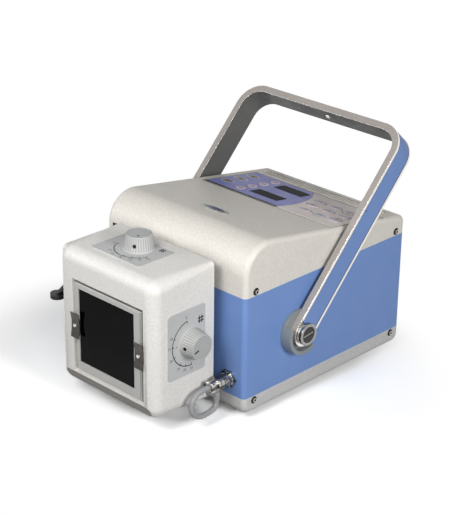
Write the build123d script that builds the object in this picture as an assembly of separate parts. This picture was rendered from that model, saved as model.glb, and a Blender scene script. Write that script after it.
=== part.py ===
from build123d import *
import math
import os

os.makedirs("parts", exist_ok=True)

# Portable x-ray machine. X is right seen from the beam exit, Y runs from the beam exit to the
# operator's side, Z is up. The origin is on the floor, under the middle of the whole machine.

# Driving dimensions in millimetres
body_width = 216.0
body_length = 262.5
foot_height = 6.0
tray_height = 19.0
band_height = 119.0
shell_wall = 3.0
corner_round = 6.0
tray_end_round = 10.0
seam_groove = 0.4
# How far a cutting shape reaches past the wall that it cuts
cut_over = 1.0
cover_front_height = 63.2
cover_front_round = 34.0
cover_slope_deg = 9.2
cover_rear_round = 8.0

panel_width = 195.0
panel_centre_x = 5.0
panel_front = 138.0
panel_length = 88.5
panel_round = 3.0
panel_thick = 1.2
panel_proud = 0.2
overlay_fit = 0.25
panel_pocket_height = 20.0

display_left = -37.0
display_right = 5.0
# Front and rear edge of each display, behind the body's front
display_rows = [(156.0, 174.0), (197.0, 215.5)]
display_thick = 0.4
round_key_x = -50.0
round_key_rows = [155.0, 174.7, 194.4, 214.0]
round_key_radius = 6.2
key_thick = 0.5
# Place across from the middle and place behind the body's front of each lens-shaped key
lens_keys = [
    (44.0, 162.0), (65.4, 162.0), (86.8, 162.0),
    (37.0, 183.5), (60.0, 183.5), (82.0, 183.5),
    (31.5, 203.0), (54.0, 203.0), (76.2, 203.0),
]
lens_key_width = 15.0
lens_key_length = 9.0
lens_key_round = 4.0
lamp_x = -79.8
lamp_rows = [164.0, 185.7, 207.0]
lamp_width = 9.0
lamp_length = 8.0
lamp_round = 1.5
badge_length = 42.0
badge_width = 11.0
badge_back = 62.0
badge_thick = 0.8

rib_first = 234.5
rib_pitch = 5.0
rib_count = 3
rib_width = 2.8
rib_depth = 1.0
rib_side_margin = 16.0

tank_width = 150.0
tank_length = 160.0
tank_height = 130.0
tank_front_gap = 9.0

collimator_width = 149.0
collimator_height = 159.0
collimator_depth = 87.7
collimator_floor_gap = 16.6
collimator_neck_gap = 12.8
collimator_wall = 3.5
collimator_front_round = 14.0
collimator_edge_round = 5.0
collimator_front_wall = 10.0
collimator_inner_round = 4.0
collimator_rear_plate_thick = 3.0
neck_radius = 46.0
neck_bore_radius = 38.0
neck_flange_radius = 49.0
neck_flange_thick = 3.0
beam_port_radius = 33.0

window_width = 110.4
window_height = 110.4
window_shift_x = 4.2
window_rise = 1.8
window_centre_up = 70.0
window_recess = 4.5
window_frame_thick = 3.7
window_frame_step = 3.2
window_frame_step_drop = 1.4
glass_width = 86.8
glass_height = 87.0
glass_shift_x = -3.1
glass_rise = 1.6
glass_thick = 3.0
glass_drop = 1.2
beam_window_width = 70.0
beam_window_height = 76.0
frame_fit = 0.3
window_gap = 2.2

clip_width = 12.6
clip_height = 29.0
clip_thick = 1.0
clip_forward = 3.0
clip_flat = 10.0
clip_screw_radius = 2.3
clip_screw_height = 1.6
clip_offset_x = 50.0
clip_lift = 0.3
clip_seat_radius = 2.6

plate_thick = 0.8
plate_round = 4.0
top_plate_width = 76.5
top_plate_length = 52.5
top_plate_centre_x = -6.7
top_plate_centre_front = 53.1
side_plate_length = 53.7
side_plate_height = 76.0
side_plate_centre_front = 53.3
side_plate_centre_up = 96.0

knob_height = 17.3
knob_base_radius = 16.9
knob_top_radius = 14.0
knob_cap_radius = 12.6
knob_cap_thick = 1.0
knob_flutes = 36
knob_flute_radius = 0.7
knob_flute_sink = 0.3
knob_skirt = 2.0
top_knob_x = -4.3
top_knob_front = 46.2
side_knob_front = 47.5
side_knob_up = 94.6

side_cover_thick = 7.5
side_cover_length = 62.0
side_cover_height = 138.0
side_cover_round = 6.0
side_cover_edge = 1.2
side_cover_back = 13.5
side_cover_up = 14.0

lever_root_back = 31.0
lever_root_up = 106.0
lever_boss_radius = 9.0
lever_boss_length = 5.0
lever_reach_out = 15.0
lever_reach_front = 10.0
lever_drop = 23.5
lever_arm_width = 9.0
lever_arm_thick = 5.0
lever_arm_round = 2.0
lever_end_radius = 8.0
lever_end_height = 5.5
lever_groove_depth = 0.7
lever_groove_width = 1.4

handle_reach = 251.0
handle_angle_deg = 46.9
handle_width = 31.0
handle_thick = 8.0
handle_bend = 30.0
handle_side_gap = 5.0
hub_back = 80.2
hub_up = 76.8
inlay_width = 24.5
inlay_thick = 1.2
inlay_fit = 0.15
inlay_start = 7.5
# Crossbar holes: place across, radius
grip_holes = [(-45.0, 1.5), (0.0, 3.25), (45.0, 1.5)]

boss_radius = 25.0
boss_wall = 4.5
boss_wall_rise = 14.5
boss_running_gap = 0.3
stop_front_deg = 151.5
stop_rear_deg = -52.4
pivot_shaft_radius = 6.0
pivot_fit = 0.05
pivot_head_radius = 12.7
pivot_head_thick = 6.0
pivot_head_round = 1.0
pivot_nut_radius = 9.0
pivot_nut_thick = 5.0
pivot_cap_radius = 8.8
pivot_cap_thick = 1.6
pivot_slot_width = 2.0
pivot_slot_depth = 0.8
pivot_slot_turn = 7.0

socket_x = 85.5
socket_up = 38.2
socket_radius = 8.5
socket_nut_radius = 11.0
socket_nut_thick = 4.0
socket_barrel = 4.0
plug_radius = 7.8
plug_barrel = 14.0
plug_grip_groove = 0.5
plug_groove_places = (4.2, 9.8)
plug_neck_radius = 6.0
plug_clamp = 10.0
plug_clamp_width = 13.0
plug_clamp_height = 9.0
plug_clamp_length = 5.0
cable_radius = 3.1
boot_radius = 4.2
boot_drop = 6.5
boot_flange_radius = 5.4
boot_flange_thick = 1.6
boot_front = 19.0
boot_up = 25.4
boot_lip = 0.7
cable_bend_share = 0.45
# The cable's route: X, Y from the body's front and Z above the tray's floor
cable_route = [
    (85.5, -32.0, 38.2),
    (85.5, -40.2, 38.2),
    (85.7, -49.2, 36.6),
    (86.1, -56.6, 30.2),
    (86.4, -57.2, 20.4),
    (86.7, -52.0, 12.4),
    (86.9, -44.2, 8.6),
    (86.7, -36.6, 8.4),
    (86.3, -29.8, 8.7),
    (86.0, -24.5, 9.5),
    (85.7, -21.0, 11.5),
    (85.5, -19.0, 15.0),
    (85.5, -19.0, 18.9),
]

foot_radius = 10.0
foot_inset_x = 24.0
foot_inset_y = 26.0
foot_edge_chamfer = 1.2
mount_plate_width = 70.0
mount_plate_length = 90.0
mount_plate_thick = 4.0
mount_hole_radius = 2.5
mount_hole_x = 50.0
mount_hole_y = 70.0
mount_plate_round = 4.0

rear_plate_width = 120.0
rear_plate_height = 46.0
rear_plate_up = 42.0
rear_plate_thick = 2.0
rear_plate_lap = 4.0
rear_plate_round = 4.0
inlet_x = -36.0
inlet_width = 27.0
inlet_height = 20.0
inlet_bezel = 2.5
inlet_bezel_round = 2.0
inlet_bezel_thick = 2.0
inlet_body_depth = 18.0
inlet_wall = 1.5
inlet_depth = 15.0
inlet_pin_wide = 2.0
inlet_pin_high = 4.0
inlet_pin_length = 9.0
inlet_pin_pitch = 7.0
inlet_pin_drop = 2.0
switch_width = 21.0
switch_height = 15.0
switch_bezel = 2.0
switch_bezel_thick = 1.5
switch_rocker_high = 3.5
switch_rocker_low = 1.0
hand_socket_x = 38.0
hand_socket_radius = 9.0
hand_socket_bore = 6.5
hand_socket_bore_depth = 10.0
hand_socket_length = 12.0
hand_socket_proud = 5.0
hand_socket_nut_radius = 12.0
hand_socket_nut_thick = 2.5

# Places worked out from the sizes above
front_reach = collimator_neck_gap + collimator_depth + clip_forward
handle_lean = math.radians(handle_angle_deg)
handle_rear = hub_back + handle_reach * math.cos(handle_lean) + handle_width / 2 * math.sin(handle_lean)
rear_reach = max(body_length + rear_plate_thick + hand_socket_proud, handle_rear)
body_front = (front_reach - rear_reach) / 2
body_rear = body_front + body_length
body_side = body_width / 2
tray_floor = foot_height
seam_low = tray_floor + tray_height
seam_high = seam_low + band_height
slope = math.tan(math.radians(cover_slope_deg))
cover_corner_z = seam_high + cover_front_height

collimator_rear = body_front - collimator_neck_gap
collimator_front = collimator_rear - collimator_depth
collimator_low = tray_floor + collimator_floor_gap
collimator_side = collimator_width / 2
beam_z = collimator_low + window_centre_up
window_x = window_shift_x
window_z = beam_z + window_rise
glass_x = window_x + glass_shift_x
glass_z = window_z + glass_rise
frame_floor_y = collimator_front + window_recess
frame_face_y = frame_floor_y - window_frame_thick
side_cover_face = -collimator_side - side_cover_thick

hub_y = body_front + hub_back
hub_z = tray_floor + hub_up
arm_inner = body_side + handle_side_gap
arm_outer = arm_inner + handle_thick
socket_z = tray_floor + socket_up


def block(x_low, x_high, y_low, y_high, z_low, z_high):
    """A box between two corners."""
    size = (x_high - x_low, y_high - y_low, z_high - z_low)
    middle = ((x_low + x_high) / 2, (y_low + y_high) / 2, (z_low + z_high) / 2)
    return Pos(*middle) * Box(*size)


def rod(start, direction, radius, length):
    """A round bar from a point, along a direction."""
    return Plane(origin=start, z_dir=direction) * Cylinder(
        radius, length, align=(Align.CENTER, Align.CENTER, Align.MIN)
    )


def bore(start, direction, radius, depth):
    """A round cutter that reaches past both ends of a hole."""
    outset = Vector(*start) - cut_over * Vector(*direction)
    return rod(outset, direction, radius, depth + 2 * cut_over)


def slab(plane, width, height, thick, corner):
    """A plate with rounded corners, standing on a plane."""
    return extrude(plane * RectangleRounded(width, height, corner), thick)


def edges_along(shape, axis, where=None):
    """Straight edges that lie along an axis, and pass a test on their middle."""
    found = shape.edges().filter_by(axis)
    return found if where is None else found.filter_by(lambda edge: where(edge.center()))


def cover_top(y):
    """Height of the sloped top above the floor."""
    return cover_corner_z - slope * (y - body_front)


# Body shells

def side_outline(corners, rounds):
    """A face across the machine's width from corners in Y and Z, each with its own round."""
    outline = Polyline(*[(0, y, z) for y, z in corners], close=True)
    face = make_face(outline)
    for (y, z), radius in zip(corners, rounds):
        if radius > 0:
            near = face.vertices().sort_by_distance((0, y, z))[0]
            face = fillet(near, radius)
    return face


def cover_block(inset):
    """The cover's outer form, drawn in on every side but the lowest."""
    front = body_front + inset
    rear = body_rear - inset
    drop = inset / math.cos(math.radians(cover_slope_deg))
    corners = [
        (front, seam_high),
        (rear, seam_high),
        (rear, cover_top(rear) - drop),
        (front, cover_top(front) - drop),
    ]
    rounds = [0, 0, cover_rear_round - inset, cover_front_round - inset]
    half = body_side - inset
    solid = extrude(side_outline(corners, rounds), half, both=True)
    ends = solid.faces().filter_by(Axis.X).edges()
    rim = ends.filter_by(lambda edge: edge.center().Z > seam_high + seam_groove)
    return fillet(rim, corner_round - inset)


def upper_cover():
    """Hollow cover with a pocket for the operator's panel and ribs behind it."""
    solid = cover_block(0) - cover_block(shell_wall)
    pocket_width = panel_width + 2 * overlay_fit
    pocket_length = panel_length + 2 * overlay_fit
    solid -= panel_blank(pocket_width, pocket_length, panel_thick, panel_pocket_height)
    for index in range(rib_count):
        y = body_front + rib_first + index * rib_pitch
        length = body_width - 2 * rib_side_margin
        groove = Pos(0, y, cover_top(y)) * Rot(-cover_slope_deg, 0, 0) * Box(length, rib_width, 2 * rib_depth)
        solid -= groove
    rim = solid.faces().sort_by(Axis.Z)[0].outer_wire().edges()
    return chamfer(rim, seam_groove)


def ring_shell(z_low, z_high):
    """Four upright walls with rounded corners."""
    outer = RectangleRounded(body_width, body_length, corner_round)
    inner_round = corner_round - shell_wall
    inner = RectangleRounded(body_width - 2 * shell_wall, body_length - 2 * shell_wall, inner_round)
    middle = (0, (body_front + body_rear) / 2, z_low)
    return Pos(*middle) * extrude(outer - inner, z_high - z_low)


def middle_band():
    """Painted band between the cover and the tray."""
    solid = ring_shell(seam_low, seam_high)
    rims = [solid.faces().sort_by(Axis.Z)[index].outer_wire().edges() for index in (0, -1)]
    solid = chamfer(rims[0] + rims[1], seam_groove)
    hole = bore((socket_x, body_front, socket_z), (0, 1, 0), socket_radius + overlay_fit, shell_wall)
    port = bore((0, body_front, beam_z), (0, 1, 0), beam_port_radius, shell_wall)
    window_wide = rear_plate_width - 2 * rear_plate_lap
    window_high = rear_plate_height - 2 * rear_plate_lap
    middle_z = tray_floor + rear_plate_up + rear_plate_height / 2
    rear_hole = block(
        -window_wide / 2, window_wide / 2,
        body_rear - shell_wall - cut_over, body_rear + cut_over,
        middle_z - window_high / 2, middle_z + window_high / 2,
    )
    return solid - hole - port - rear_hole


def tray_block(inset):
    """The tray's outer form, drawn in at the ends, the sides and the floor."""
    front = body_front + inset
    rear = body_rear - inset
    low = tray_floor + inset
    corners = [(front, low), (rear, low), (rear, seam_low), (front, seam_low)]
    rounds = [tray_end_round - inset, tray_end_round - inset, 0, 0]
    return extrude(side_outline(corners, rounds), body_side - inset, both=True)


def lower_tray():
    """Tray with rounded ends, the stand's threaded holes in its floor."""
    solid = tray_block(0)
    solid = fillet(edges_along(solid, Axis.Z), corner_round)
    solid -= tray_block(shell_wall)
    rim = solid.faces().sort_by(Axis.Z)[-1].outer_wire().edges()
    return chamfer(rim, seam_groove)


# Operator's panel

def panel_plane(y):
    """Plane on the sloped top at a distance behind the body's front."""
    return Plane(
        origin=(panel_centre_x, body_front + y, cover_top(body_front + y)),
        x_dir=(1, 0, 0),
        z_dir=(0, math.sin(math.radians(cover_slope_deg)), math.cos(math.radians(cover_slope_deg))),
    )


def panel_blank(width, length, below, above):
    """A plate on the sloped top, partly below and partly above it."""
    plane = panel_plane(panel_front + panel_length / 2).offset(-below)
    return extrude(plane * RectangleRounded(width, length, panel_round), below + above)


def on_panel(x, y, sketch, thick):
    """A thin raised form on the panel, placed from the body's middle and front."""
    plane = panel_plane(y).offset(panel_proud)
    return extrude(plane * Pos(x - panel_centre_x, 0) * sketch, thick)


def control_panel():
    """Membrane panel."""
    return panel_blank(panel_width, panel_length, panel_thick, panel_proud)


def display_windows():
    """Two dark readouts."""
    width = display_right - display_left
    middle = (display_left + display_right) / 2
    pieces = [
        on_panel(middle, (low + high) / 2, Rectangle(width, high - low), display_thick)
        for low, high in display_rows
    ]
    return Compound(pieces)


def panel_keys():
    """Raised keys of the membrane."""
    pieces = [on_panel(round_key_x, y, Circle(round_key_radius), key_thick) for y in round_key_rows]
    shape = RectangleRounded(lens_key_width, lens_key_length, lens_key_round)
    pieces += [on_panel(x, y, shape, key_thick) for x, y in lens_keys]
    return Compound(pieces)


def indicator_lamps():
    """Small lamp windows at the panel's left."""
    shape = RectangleRounded(lamp_width, lamp_length, lamp_round)
    return Compound([on_panel(lamp_x, y, shape, display_thick) for y in lamp_rows])


def cover_badge():
    """Blank oval badge on the cover."""
    plane = panel_plane(badge_back)
    shape = Pos(-panel_centre_x, 0) * Ellipse(badge_length / 2, badge_width / 2)
    return extrude(plane * shape, badge_thick)


# Heavy mass inside

def tube_tank():
    """Sealed tank of the x-ray tube, a plain block on the tray's floor."""
    low = tray_floor + shell_wall
    front = body_front + shell_wall + tank_front_gap
    return block(-tank_width / 2, tank_width / 2, front, front + tank_length, low, low + tank_height)


# Beam collimator

def collimator_section(y, corner):
    """Rounded section of the housing at one depth."""
    middle_z = collimator_low + collimator_height / 2
    plane = Plane(origin=(0, y, middle_z), x_dir=(1, 0, 0), z_dir=(0, -1, 0))
    return plane * RectangleRounded(collimator_width, collimator_height, corner)


def collimator_housing():
    """Box with large rounds at the front, open at the rear."""
    shoulder = collimator_front + collimator_front_round
    nose = extrude(collimator_section(shoulder, collimator_front_round), collimator_front_round)
    rim = nose.faces().sort_by(Axis.Y)[0].edges()
    nose = fillet(rim, collimator_front_round - 0.05)
    trunk = loft([
        collimator_section(collimator_rear, collimator_edge_round),
        collimator_section(shoulder, collimator_front_round),
    ], ruled=True)
    solid = nose + trunk
    wall = collimator_wall
    inner = slab(
        Plane(
            origin=(0, collimator_rear + cut_over, collimator_low + collimator_height / 2),
            x_dir=(1, 0, 0), z_dir=(0, -1, 0),
        ),
        collimator_width - 2 * wall, collimator_height - 2 * wall,
        collimator_depth - collimator_front_wall + cut_over, collimator_inner_round,
    )
    recess = block(
        window_x - window_width / 2, window_x + window_width / 2,
        collimator_front - cut_over, frame_floor_y,
        window_z - window_height / 2, window_z + window_height / 2,
    )
    opening = block(
        -beam_window_width / 2, beam_window_width / 2,
        collimator_front - cut_over, collimator_front + collimator_front_wall + cut_over,
        beam_z - beam_window_height / 2, beam_z + beam_window_height / 2,
    )
    return solid - inner - recess - opening


def collimator_rear_plate():
    """Plate that closes the housing's rear, with the beam port."""
    inset = collimator_wall + frame_fit
    plane = Plane(
        origin=(0, collimator_rear, collimator_low + collimator_height / 2),
        x_dir=(1, 0, 0), z_dir=(0, -1, 0),
    )
    plate = slab(
        plane, collimator_width - 2 * inset, collimator_height - 2 * inset,
        collimator_rear_plate_thick, collimator_inner_round - frame_fit,
    )
    port = bore((0, collimator_rear, beam_z), (0, -1, 0), beam_port_radius, collimator_rear_plate_thick)
    return plate - port


def collimator_neck():
    """Turned neck with a flange at each end, between the collimator and the body."""
    start = (0, collimator_rear, beam_z)
    along = (0, 1, 0)
    length = collimator_neck_gap
    neck = rod(start, along, neck_radius, length)
    neck += rod(start, along, neck_flange_radius, neck_flange_thick)
    neck += rod((0, body_front - neck_flange_thick, beam_z), along, neck_flange_radius, neck_flange_thick)
    return neck - bore(start, along, beam_port_radius, length)


def glass_block(width, height, y_low, y_high):
    """Block round the glass's middle."""
    return block(
        glass_x - width / 2, glass_x + width / 2, y_low, y_high, glass_z - height / 2, glass_z + height / 2
    )


def window_frame():
    """Stepped frame of the beam window, in the front recess."""
    half_w = window_width / 2 - window_gap
    half_h = window_height / 2 - window_gap
    step = window_frame_step
    frame = block(
        window_x - half_w, window_x + half_w,
        frame_face_y + window_frame_step_drop, frame_floor_y,
        window_z - half_h, window_z + half_h,
    )
    frame += block(
        window_x - half_w + step, window_x + half_w - step,
        frame_face_y, frame_floor_y,
        window_z - half_h + step, window_z + half_h - step,
    )
    return frame - glass_block(glass_width, glass_height, frame_face_y - cut_over, frame_floor_y + cut_over)


def window_glass():
    """Dark plate in the frame."""
    width = glass_width - 2 * frame_fit
    height = glass_height - 2 * frame_fit
    return glass_block(width, height, frame_face_y + glass_drop, frame_floor_y)


def filter_clips():
    """Two bent leaf clips beside the window, each with its screw."""
    half = clip_height / 2
    flat = clip_flat / 2
    face = collimator_front - clip_lift
    lift = clip_forward - clip_lift - clip_thick
    outline = [
        (face, -flat), (face, flat),
        (face - lift, half), (face - lift - clip_thick, half),
        (face - clip_thick, flat), (face - clip_thick, -flat),
        (face - lift - clip_thick, -half), (face - lift, -half),
    ]
    profile = make_face(Polyline(*[(0, y, glass_z + z) for y, z in outline], close=True))
    pieces = []
    for side in (-1, 1):
        x = window_x + side * clip_offset_x
        leaf = Pos(x, 0, 0) * extrude(profile, clip_width / 2, both=True)
        seat = rod((x, frame_face_y, glass_z), (0, -1, 0), clip_seat_radius, frame_face_y - face)
        head = rod((x, face - clip_thick, glass_z), (0, -1, 0), clip_screw_radius, clip_screw_height)
        pieces.append(leaf + seat + head)
    return pieces


def top_plane():
    """Plane on the housing's top."""
    return Plane(origin=(0, 0, collimator_low + collimator_height))


def side_plane():
    """Plane on the housing's right side, its X to the rear."""
    return Plane(origin=(collimator_side, 0, 0), x_dir=(0, 1, 0), z_dir=(1, 0, 0))


def top_scale_plate():
    """Scale plate on the housing's top."""
    place = Pos(top_plate_centre_x, body_front - top_plate_centre_front)
    shape = RectangleRounded(top_plate_width, top_plate_length, plate_round)
    return extrude(top_plane() * place * shape, plate_thick)


def side_scale_plate():
    """Scale plate on the housing's right side."""
    place = Pos(body_front - side_plate_centre_front, tray_floor + side_plate_centre_up)
    shape = RectangleRounded(side_plate_length, side_plate_height, plate_round)
    return extrude(side_plane() * place * shape, plate_thick)


def knob_body(plane):
    """Tapered fluted knob standing on a plane, with a seat for its cap."""
    half_profile = Polyline(
        (0, 0), (knob_base_radius, 0), (knob_top_radius, knob_height),
        (knob_cap_radius + overlay_fit, knob_height), (knob_cap_radius + overlay_fit, knob_height - knob_cap_thick),
        (0, knob_height - knob_cap_thick), close=True,
    )
    turned = revolve(Plane.XZ * make_face(half_profile), Axis.Z)
    lean = math.degrees(math.atan2(knob_base_radius - knob_top_radius, knob_height))
    flutes = []
    for index in range(knob_flutes):
        turn = 360 * index / knob_flutes
        flute = Pos(knob_base_radius + knob_flute_sink, 0, knob_skirt) * Rot(0, -lean, 0) * Cylinder(
            knob_flute_radius, knob_height, align=(Align.CENTER, Align.CENTER, Align.MIN)
        )
        flutes.append(Rot(0, 0, turn) * flute)
    return plane * (turned - flutes)


def knob_cap(plane):
    """Grey disc in the knob's top."""
    return plane.offset(knob_height - knob_cap_thick) * Cylinder(
        knob_cap_radius, knob_cap_thick, align=(Align.CENTER, Align.CENTER, Align.MIN)
    )


def top_knob_plane():
    """Seat of the top knob on its scale plate."""
    return Plane(top_plane().offset(plate_thick) * Pos(top_knob_x, body_front - top_knob_front))


def side_knob_plane():
    """Seat of the side knob on its scale plate."""
    return Plane(side_plane().offset(plate_thick) * Pos(body_front - side_knob_front, tray_floor + side_knob_up))


def side_cover():
    """Raised cover on the housing's left side."""
    middle_y = collimator_front + side_cover_back + side_cover_length / 2
    middle_z = collimator_low + side_cover_up + side_cover_height / 2
    plane = Plane(origin=(-collimator_side, middle_y, middle_z), x_dir=(0, 1, 0), z_dir=(-1, 0, 0))
    plate = slab(plane, side_cover_length, side_cover_height, side_cover_thick, side_cover_round)
    return fillet(plate.faces().sort_by(Axis.X)[0].edges(), side_cover_edge)


def thumb_lever():
    """Small black lever on the side cover, with a round grooved end."""
    root = Vector(side_cover_face, collimator_front + lever_root_back, collimator_low + lever_root_up)
    boss_end = root + Vector(-lever_boss_length, 0, 0)
    end = boss_end + Vector(-lever_reach_out, -lever_reach_front, -lever_drop)
    lever = rod(root, (-1, 0, 0), lever_boss_radius, lever_boss_length)
    start = root + Vector(-lever_boss_length / 2, 0, 0)
    path = Line(start, end)
    section = Plane(origin=start, x_dir=(0, 1, 0), z_dir=end - start) * RectangleRounded(
        lever_arm_width, lever_arm_thick, lever_arm_round
    )
    lever += sweep(section, path=path)
    base = Vector(end.X, end.Y, end.Z - lever_end_height / 2)
    disc = rod(base, (0, 0, 1), lever_end_radius, lever_end_height)
    cut_low = Vector(end.X, end.Y, end.Z - lever_groove_width / 2)
    groove = rod(cut_low, (0, 0, 1), lever_end_radius + cut_over, lever_groove_width)
    groove -= rod(cut_low, (0, 0, 1), lever_end_radius - lever_groove_depth, lever_groove_width)
    return lever + (disc - groove)


# Carry handle

def handle_plane():
    """The handle's own plane: X across, Y along the arms, Z across the strip."""
    across = (0, -math.sin(handle_lean), math.cos(handle_lean))
    return Plane(origin=(0, hub_y, hub_z), x_dir=(1, 0, 0), z_dir=across)


def u_outline(inset, start):
    """Outline of the bent strip's outside, drawn in by an inset, from a distance along the arms."""
    half = arm_outer - inset
    top = handle_reach - inset
    corner = handle_bend - inset
    shape = Rectangle(2 * half, top - start, align=(Align.CENTER, Align.MIN))
    shape = Pos(0, start) * shape
    tips = shape.vertices().group_by(Axis.Y)[-1]
    return fillet(tips, corner)


def strip(outer, inner, start, width):
    """Bent strip between two insets of the handle's outline."""
    face = u_outline(outer, start) - u_outline(inner, start)
    return extrude(handle_plane() * face, width / 2, both=True)


def handle_frame():
    """Bent metal strip with round ends, a groove for the inlay and the pivot holes."""
    frame = strip(0, handle_thick, 0, handle_width)
    for side in (-1, 1):
        inner = side * arm_inner
        frame += rod((inner, hub_y, hub_z), (side, 0, 0), handle_width / 2, handle_thick)
    groove = strip(-cut_over, inlay_thick, inlay_start, inlay_width + 2 * inlay_fit)
    frame -= groove
    for side in (-1, 1):
        start = (side * arm_inner, hub_y, hub_z)
        frame -= bore(start, (side, 0, 0), pivot_shaft_radius + pivot_fit, handle_thick)
    for across, radius in grip_holes:
        start = handle_plane() * Pos(across, handle_reach - handle_thick - cut_over, 0)
        frame -= start * Rot(-90, 0, 0) * Cylinder(
            radius, handle_thick + 2 * cut_over, align=(Align.CENTER, Align.CENTER, Align.MIN)
        )
    return frame


def handle_inlay():
    """Coloured strip in the handle's groove."""
    return strip(inlay_fit, inlay_thick - inlay_fit / 3, inlay_start + inlay_fit, inlay_width)


def pivot_boss(side):
    """Round boss on the body with a part wall whose ends stop the handle."""
    start = (side * body_side, hub_y, hub_z)
    base = rod(start, (side, 0, 0), boss_radius, handle_side_gap - boss_running_gap)
    sweep_deg = stop_rear_deg + 360 - stop_front_deg
    plane = Plane(origin=start, x_dir=(0, 1, 0), z_dir=(1, 0, 0))
    points = []
    reach = 2 * boss_radius
    steps = 8
    for index in range(steps + 1):
        angle = math.radians(stop_front_deg + sweep_deg * index / steps)
        points.append((reach * math.cos(angle), reach * math.sin(angle)))
    sector = make_face(Polyline((0, 0), *points, close=True))
    wall_face = (Circle(boss_radius) - Circle(boss_radius - boss_wall)) & sector
    wall = extrude(plane * wall_face, side * boss_wall_rise)
    return base + wall - bore(start, (side, 0, 0), pivot_shaft_radius + pivot_fit, handle_side_gap)


def pivot_bolt(side):
    """Shouldered bolt that carries the handle's arm, with a seat for its cap."""
    start = (side * body_side, hub_y, hub_z)
    shaft_length = arm_outer + boss_running_gap - body_side
    bolt = rod(start, (side, 0, 0), pivot_shaft_radius, shaft_length)
    head_start = (side * (body_side + shaft_length), hub_y, hub_z)
    bolt += rod(head_start, (side, 0, 0), pivot_head_radius, pivot_head_thick)
    face_x = body_side + shaft_length + pivot_head_thick
    seat_start = (side * (face_x - pivot_cap_thick), hub_y, hub_z)
    bolt -= rod(seat_start, (side, 0, 0), pivot_cap_radius + overlay_fit, pivot_cap_thick + cut_over)
    return bolt


def pivot_cap(side):
    """Black cap in the bolt's head, with a coin slot."""
    face_x = arm_outer + boss_running_gap + pivot_head_thick
    start = (side * (face_x - pivot_cap_thick), hub_y, hub_z)
    cap = rod(start, (side, 0, 0), pivot_cap_radius, pivot_cap_thick)
    slot = Pos(side * face_x, hub_y, hub_z) * Rot(pivot_slot_turn, 0, 0) * Box(
        2 * pivot_slot_depth, 4 * pivot_cap_radius, pivot_slot_width
    )
    return cap - slot


# Link cable between the body and the collimator

def link_socket():
    """Round connector on the body's front, with its hexagon nut."""
    start = (socket_x, body_front + shell_wall, socket_z)
    socket = rod(start, (0, -1, 0), socket_radius, shell_wall + socket_nut_thick + socket_barrel)
    nut_plane = Plane(origin=(socket_x, body_front, socket_z), x_dir=(1, 0, 0), z_dir=(0, -1, 0))
    return socket + extrude(nut_plane * RegularPolygon(socket_nut_radius, 6), socket_nut_thick)


def link_plug():
    """Plug with a grooved barrel and a cable clamp."""
    barrel_y = body_front - socket_nut_thick - socket_barrel
    neck_y = barrel_y - plug_barrel
    plug = rod((socket_x, barrel_y, socket_z), (0, -1, 0), plug_radius, plug_barrel)
    for place in plug_groove_places:
        groove_y = barrel_y - place
        groove = rod((socket_x, groove_y, socket_z), (0, -1, 0), plug_radius + cut_over, 2 * plug_grip_groove)
        groove -= rod((socket_x, groove_y, socket_z), (0, -1, 0), plug_radius - plug_grip_groove, 2 * plug_grip_groove)
        plug -= groove
    plug += rod((socket_x, neck_y, socket_z), (0, -1, 0), plug_neck_radius, plug_clamp - plug_clamp_length / 2)
    plug += block(
        socket_x - plug_clamp_width / 2, socket_x + plug_clamp_width / 2,
        neck_y - plug_clamp, neck_y - plug_clamp + plug_clamp_length,
        socket_z - plug_clamp_height / 2, socket_z + plug_clamp_height / 2,
    )
    return plug


def cable_boot():
    """Angled strain relief on the collimator's side, its mouth downwards."""
    boot_y = body_front - boot_front
    boot_z = tray_floor + boot_up
    root = (collimator_side, boot_y, boot_z)
    bend = (socket_x, boot_y, boot_z)
    boot = rod(root, (1, 0, 0), boot_flange_radius, boot_flange_thick)
    boot += rod(root, (1, 0, 0), boot_radius, socket_x - collimator_side)
    knuckle = Pos(*bend) * Sphere(boot_radius)
    drop = Pos(*bend) * revolve(Plane.XZ * make_face(Polyline(
        (0, 0), (boot_radius, 0), (cable_radius + boot_lip, -boot_drop), (0, -boot_drop), close=True,
    )), Axis.Z)
    return boot + knuckle + drop


def cable_points():
    """The route in the machine's frame."""
    return [Vector(x, body_front + y, tray_floor + z) for x, y, z in cable_route]


def cable_radii(points):
    """The largest arc at each inner point that both of its runs allow."""
    radii = []
    for before, here, after in zip(points, points[1:], points[2:]):
        turn = (here - before).get_angle(after - here)
        run = min((here - before).length, (after - here).length)
        radii.append(cable_bend_share * run / math.tan(math.radians(turn) / 2))
    return radii


def link_cable():
    """Cable from the plug round a hanging loop to the boot."""
    points = cable_points()
    radii = cable_radii(points)
    path = FilletPolyline(*points, radius=radii)
    start = Plane(origin=path @ 0, z_dir=path % 0)
    cable = sweep(start * Circle(cable_radius), path=path)
    expected = math.pi * cable_radius ** 2 * path.length
    print("cable radii", [round(radius, 1) for radius in radii])
    print("cable length", round(path.length, 1), "volume", round(cable.volume), "expected", round(expected))
    return cable


# Rear connectors and underside

def rear_plane():
    """Plane on the body's rear, its X to the machine's left as seen from behind."""
    middle_z = tray_floor + rear_plate_up + rear_plate_height / 2
    return Plane(origin=(0, body_rear, middle_z), x_dir=(1, 0, 0), z_dir=(0, 1, 0))


def rear_connector_plate():
    """Plate on the body's rear that carries the connectors."""
    plate = slab(rear_plane(), rear_plate_width, rear_plate_height, rear_plate_thick, rear_plate_round)
    plane = rear_plane().offset(-cut_over)
    deep = rear_plate_thick + 2 * cut_over
    inlet = extrude(plane * Pos(inlet_x, 0) * Rectangle(inlet_width + overlay_fit, inlet_height + overlay_fit), deep)
    rocker = extrude(plane * Pos(0, 0) * Rectangle(switch_width + overlay_fit, switch_height + overlay_fit), deep)
    round_hole = extrude(plane * Pos(hand_socket_x, 0) * Circle(hand_socket_radius + overlay_fit), deep)
    return plate - inlet - rocker - round_hole


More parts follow.
